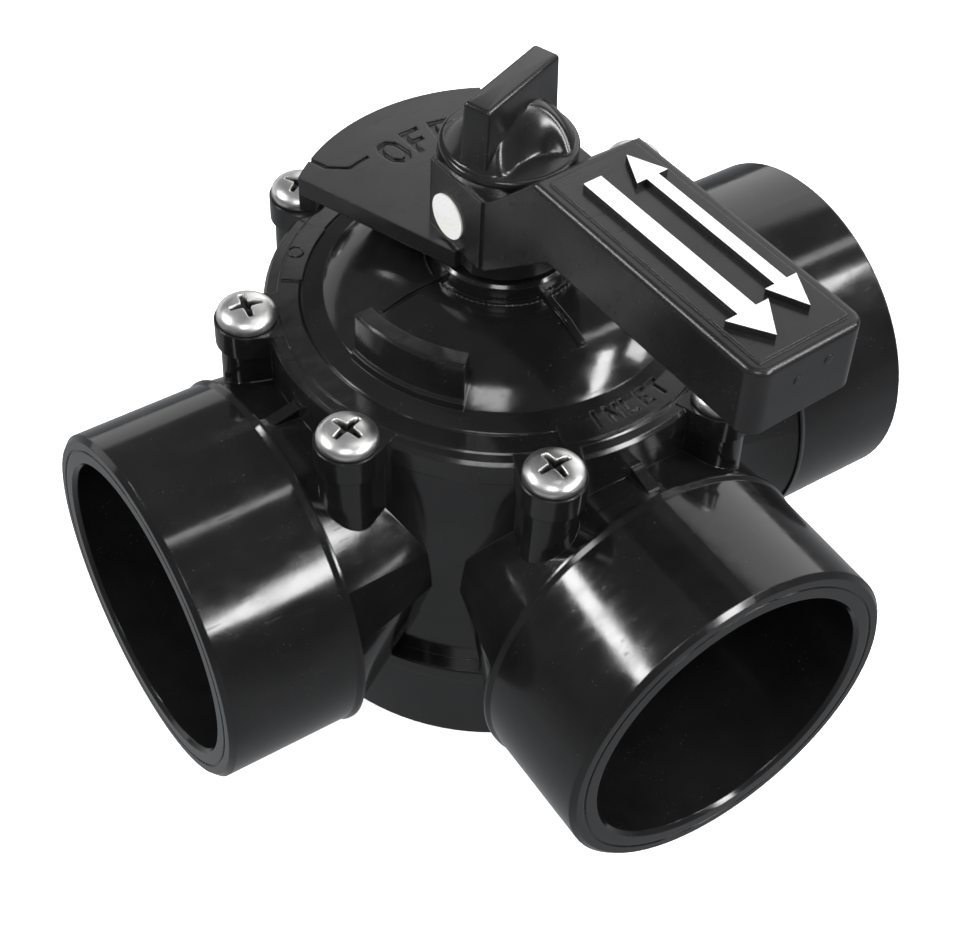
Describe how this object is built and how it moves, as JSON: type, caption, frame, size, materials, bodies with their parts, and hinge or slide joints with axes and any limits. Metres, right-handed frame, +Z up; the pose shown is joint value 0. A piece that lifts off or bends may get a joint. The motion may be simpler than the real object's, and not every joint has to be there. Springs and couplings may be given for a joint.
{
  "type": "three way diverter valve",
  "caption": "Black plastic three way diverter valve with socket ports in a T, a bolted domed cover, a turning handle with an OFF plate, and a wing locking knob.",
  "frame": {"origin": "centre of the flat foot, under the stem axis", "axes": "+Z up the stem, the two run ports along X, the branch (inlet) port along -Y"},
  "size_m": [0.164, 0.1341, 0.135],
  "materials": {
    "body_black": "glossy moulded black plastic",
    "cover_black": "glossy moulded black plastic with fine flow marks",
    "handle_black": "satin moulded black plastic",
    "knob_black": "glossy moulded black plastic",
    "rotor_grey": "moulded dark grey plastic",
    "stem_black": "glass filled black plastic",
    "bearing_white": "natural acetal",
    "seal_rubber": "black rubber",
    "stainless": "stainless steel, bright",
    "brass": "turned brass",
    "print_white": "white hot stamped marking",
    "label_white": "white label"
  },
  "bodies": {
    "housing": {"valve_body": "body_black", "cover": "cover_black", "cover_screws": "stainless", "cover_seal_ring": "seal_rubber", "stem_bushing": "bearing_white", "neck_wiper": "seal_rubber", "upper_thrust_washer": "bearing_white", "lower_thrust_washer": "bearing_white", "foot_bushing": "bearing_white"},
    "rotor": {"handle": "handle_black", "handle_legend": "print_white", "handle_label": "label_white", "handle_clip": "stainless", "knob_washer": "stainless", "stem": "stem_black", "stem_key": "stainless", "stem_seal_lower": "seal_rubber", "stem_seal_upper": "seal_rubber", "diverter": "rotor_grey", "diverter_seal": "seal_rubber"},
    "locking_knob": {"locking_knob": "knob_black", "knob_insert": "brass"}
  },
  "joints": [
    {"name": "handle_turn", "type": "hinge", "parent": "housing", "child": "rotor", "pos_m": [0, 0, 0.09], "axis": [0, 0, 1], "range_deg": [-93.3, 86.3]},
    {"name": "knob_turn", "type": "hinge", "parent": "rotor", "child": "locking_knob", "pos_m": [0, 0, 0.122], "axis": [0, 0, 1], "range_deg": [0, 360]}
  ]
}
